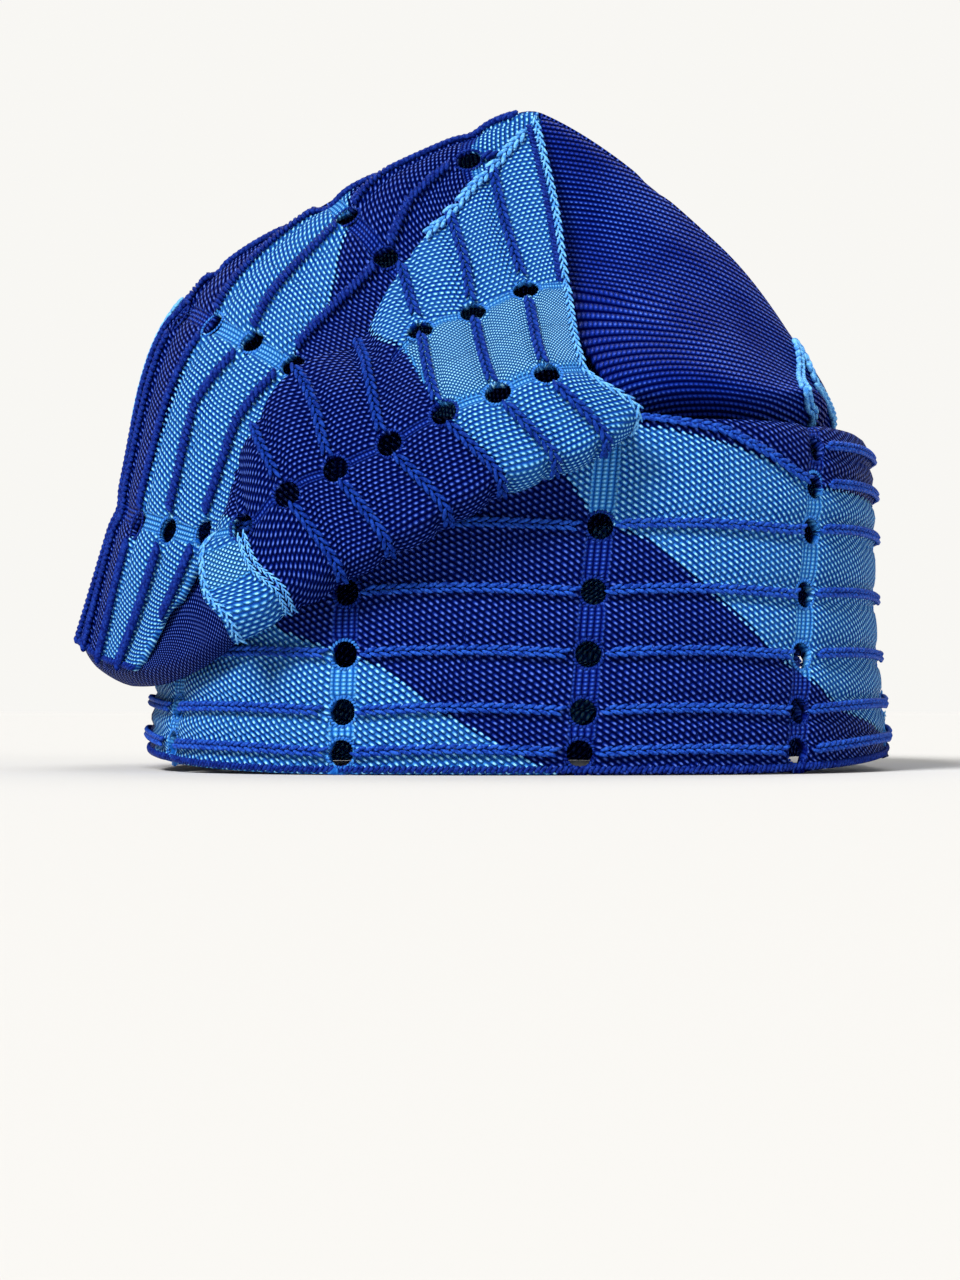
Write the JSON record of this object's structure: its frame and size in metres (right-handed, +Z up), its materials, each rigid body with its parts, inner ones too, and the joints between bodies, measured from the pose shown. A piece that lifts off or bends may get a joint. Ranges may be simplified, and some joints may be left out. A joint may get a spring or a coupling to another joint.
{
  "type": "soft woven cap",
  "caption": "Soft woven cloth cap with an eyelet-pierced band and a tall crown folded down to one side.",
  "frame": {"origin": "under the middle of the cap's bounding box, on the plane of the rim's underside", "axes": "+Z up, -Y to the wearer's front, +X to the wearer's left; the crown folds over towards -X"},
  "size_m": [0.1832, 0.2167, 0.1458],
  "materials": {
    "band_cloth": "coarse woven cloth, dark and light blue stripes",
    "side_cloth": "plain dark blue woven cloth",
    "crown_front_cloth": "woven cloth with braided ribs, dark and light blue stripes",
    "crown_back_cloth": "woven cloth, dark and light blue stripes",
    "fold_cloth": "woven cloth with braided ribs, light and dark blue stripes",
    "tip_cloth": "plain dark blue woven cloth"
  },
  "bodies": {
    "root": {"band": "band_cloth", "side_panel": "side_cloth", "crown_front": "crown_front_cloth", "crown_back": "crown_back_cloth", "front_fold": "fold_cloth", "tip_fold": "tip_cloth"}
  },
  "joints": []
}
